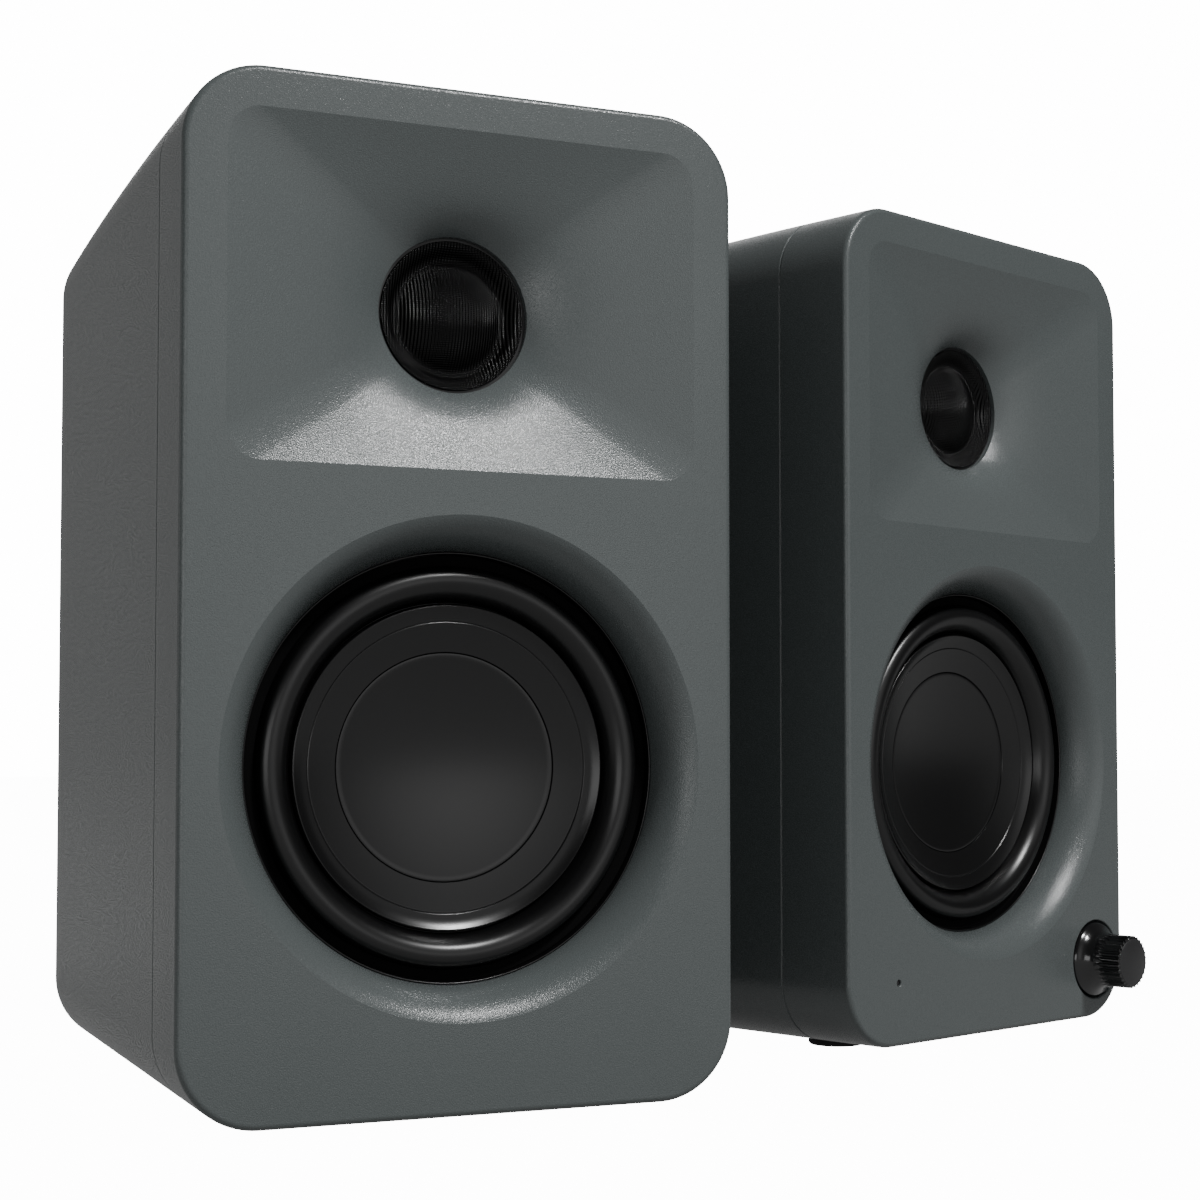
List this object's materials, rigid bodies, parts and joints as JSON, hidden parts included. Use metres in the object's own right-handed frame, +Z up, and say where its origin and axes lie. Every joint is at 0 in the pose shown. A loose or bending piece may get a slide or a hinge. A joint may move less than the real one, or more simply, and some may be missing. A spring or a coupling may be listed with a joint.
{
  "type": "desktop speakers",
  "caption": "Two compact upright speakers with rectangular waveguides over round woofers, a rear port and terminals, and a fluted knob on one.",
  "frame": {"origin": "middle of the pair's bounding box, on the desk", "axes": "+Z up; -Y is the way the left speaker faces; +X to the right seen from the front"},
  "size_m": [0.2389, 0.1865, 0.178],
  "materials": {
    "slate_paint": "matte paint over a moulded and machined cabinet",
    "black_panel": "matte black panel",
    "black_steel": "black coated steel",
    "black_plastic": "satin black plastic",
    "black_rubber": "matte rubber",
    "surround_rubber": "satin moulded rubber",
    "insert_brass": "plain brass",
    "dome_cloth": "woven dark cloth",
    "spider_cloth": "corrugated cloth",
    "cone_black": "satin black cone",
    "coil_copper": "enamelled wire on a former",
    "ferrite": "dull grey ferrite",
    "magnet_nickel": "nickel plate",
    "motor_steel": "zinc plated steel",
    "gilt_metal": "gilt plating",
    "terminal_red": "clear red tinted plastic",
    "terminal_black": "gloss black plastic",
    "board_green": "circuit board with its parts",
    "socket_steel": "bright steel",
    "light_pipe": "dark clear rod, unlit",
    "encoder_case": "moulded switch case",
    "knob_black": "gloss black knob"
  },
  "bodies": {
    "left_speaker": {"left_cabinet_shell": "slate_paint", "left_front_baffle": "slate_paint", "left_rear_panel": "black_panel", "left_rear_screws": "black_steel", "left_port_tube": "black_plastic", "left_rubber_feet": "black_rubber", "left_stand_insert": "insert_brass", "left_tweeter_plate": "black_plastic", "left_tweeter_magnet": "magnet_nickel", "left_tweeter_cup": "motor_steel", "left_woofer_basket": "black_steel", "left_woofer_magnet": "ferrite", "left_woofer_pole_plates": "motor_steel", "left_woofer_screws": "black_steel", "left_terminal_posts": "gilt_metal", "left_crossover_board": "board_green"},
    "left_woofer_cone_body": {"left_woofer_surround": "surround_rubber", "left_woofer_cone": "cone_black", "left_woofer_dust_cap": "cone_black", "left_woofer_spider": "spider_cloth", "left_woofer_voice_coil": "coil_copper"},
    "left_tweeter_dome_body": {"left_tweeter_dome": "dome_cloth"},
    "left_red_washer_body": {"left_red_terminal_washer": "gilt_metal"},
    "left_red_cap_body": {"left_red_terminal_cap": "terminal_red"},
    "left_black_washer_body": {"left_black_terminal_washer": "gilt_metal"},
    "left_black_cap_body": {"left_black_terminal_cap": "terminal_black"},
    "right_speaker": {"right_cabinet_shell": "slate_paint", "right_front_baffle": "slate_paint", "right_rear_panel": "black_panel", "right_rear_screws": "black_steel", "right_port_tube": "black_plastic", "right_rubber_feet": "black_rubber", "right_stand_insert": "insert_brass", "right_tweeter_plate": "black_plastic", "right_tweeter_magnet": "magnet_nickel", "right_tweeter_cup": "motor_steel", "right_woofer_basket": "black_steel", "right_woofer_magnet": "ferrite", "right_woofer_pole_plates": "motor_steel", "right_woofer_screws": "black_steel", "right_terminal_posts": "gilt_metal", "right_amplifier_board": "board_green", "right_rca_sockets": "gilt_metal", "right_dc_inlet": "black_plastic", "right_usb_socket": "socket_steel", "right_status_light": "light_pipe", "right_encoder_body": "encoder_case"},
    "right_woofer_cone_body": {"right_woofer_surround": "surround_rubber", "right_woofer_cone": "cone_black", "right_woofer_dust_cap": "cone_black", "right_woofer_spider": "spider_cloth", "right_woofer_voice_coil": "coil_copper"},
    "right_tweeter_dome_body": {"right_tweeter_dome": "dome_cloth"},
    "right_red_washer_body": {"right_red_terminal_washer": "gilt_metal"},
    "right_red_cap_body": {"right_red_terminal_cap": "terminal_red"},
    "right_black_washer_body": {"right_black_terminal_washer": "gilt_metal"},
    "right_black_cap_body": {"right_black_terminal_cap": "terminal_black"},
    "right_plunger_body": {"right_encoder_plunger": "black_plastic"},
    "right_knob_body": {"right_knob_shaft": "socket_steel", "right_volume_knob": "knob_black"}
  },
  "joints": [
    {"name": "left_woofer_travel", "type": "slide", "parent": "left_speaker", "child": "left_woofer_cone_body", "axis": [0, -1, 0], "range_m": [-0.0015, 0.0015], "stiffness_N_per_m": 900, "deforming": ["left_woofer_surround", "left_woofer_spider"]},
    {"name": "left_tweeter_travel", "type": "slide", "parent": "left_speaker", "child": "left_tweeter_dome_body", "axis": [0, -1, 0], "range_m": [-0.00015, 0.00015], "stiffness_N_per_m": 600},
    {"name": "left_red_washer_slide", "type": "slide", "parent": "left_speaker", "child": "left_red_washer_body", "axis": [0, 1, 0], "range_m": [0, 0.0028]},
    {"name": "left_red_cap_turn", "type": "hinge", "parent": "left_red_washer_body", "child": "left_red_cap_body", "pos_m": [-0.0794, 0.0338, 0.036], "axis": [0, 1, 0], "range_deg": [0, 1441]},
    {"name": "left_black_washer_slide", "type": "slide", "parent": "left_speaker", "child": "left_black_washer_body", "axis": [0, 1, 0], "range_m": [0, 0.0028]},
    {"name": "left_black_cap_turn", "type": "hinge", "parent": "left_black_washer_body", "child": "left_black_cap_body", "pos_m": [-0.0594, 0.0338, 0.036], "axis": [0, 1, 0], "range_deg": [0, 1441]},
    {"name": "right_woofer_travel", "type": "slide", "parent": "right_speaker", "child": "right_woofer_cone_body", "axis": [0.3518, -0.9361, 0], "range_m": [-0.0015, 0.0015], "stiffness_N_per_m": 900, "deforming": ["right_woofer_surround", "right_woofer_spider"]},
    {"name": "right_tweeter_travel", "type": "slide", "parent": "right_speaker", "child": "right_tweeter_dome_body", "axis": [0.3518, -0.9361, 0], "range_m": [-0.00015, 0.00015], "stiffness_N_per_m": 600},
    {"name": "right_red_washer_slide", "type": "slide", "parent": "right_speaker", "child": "right_red_washer_body", "axis": [-0.3518, 0.9361, 0], "range_m": [0, 0.0028]},
    {"name": "right_red_cap_turn", "type": "hinge", "parent": "right_red_washer_body", "child": "right_red_cap_body", "pos_m": [0.01896, 0.07766, 0.102], "axis": [-0.3518, 0.9361, 0], "range_deg": [0, 1441]},
    {"name": "right_black_washer_slide", "type": "slide", "parent": "right_speaker", "child": "right_black_washer_body", "axis": [-0.3518, 0.9361, 0], "range_m": [0, 0.0028]},
    {"name": "right_black_cap_turn", "type": "hinge", "parent": "right_black_washer_body", "child": "right_black_cap_body", "pos_m": [0.03768, 0.0847, 0.102], "axis": [-0.3518, 0.9361, 0], "range_deg": [0, 1441]},
    {"name": "right_speaker_turn", "type": "hinge", "parent": "left_speaker", "child": "right_speaker", "pos_m": [0.05189, 0.01846, 0.002], "axis": [0, 0, 1], "range_deg": [-30, 5]},
    {"name": "knob_push", "type": "slide", "parent": "right_speaker", "child": "right_plunger_body", "axis": [-0.3518, 0.9361, 0], "range_m": [0, 0.0008], "stiffness_N_per_m": 3000, "springref_m": -0.0004},
    {"name": "knob_turn", "type": "hinge", "parent": "right_plunger_body", "child": "right_knob_body", "pos_m": [0.11145, -0.02859, 0.0152], "axis": [0.3518, -0.9361, 0], "continuous": true}
  ],
  "couplings": [
    {"joint": "left_red_cap_turn", "follows": "left_red_washer_slide", "rad_per_m": 8976},
    {"joint": "left_black_cap_turn", "follows": "left_black_washer_slide", "rad_per_m": 8976},
    {"joint": "right_red_cap_turn", "follows": "right_red_washer_slide", "rad_per_m": 8976},
    {"joint": "right_black_cap_turn", "follows": "right_black_washer_slide", "rad_per_m": 8976}
  ]
}
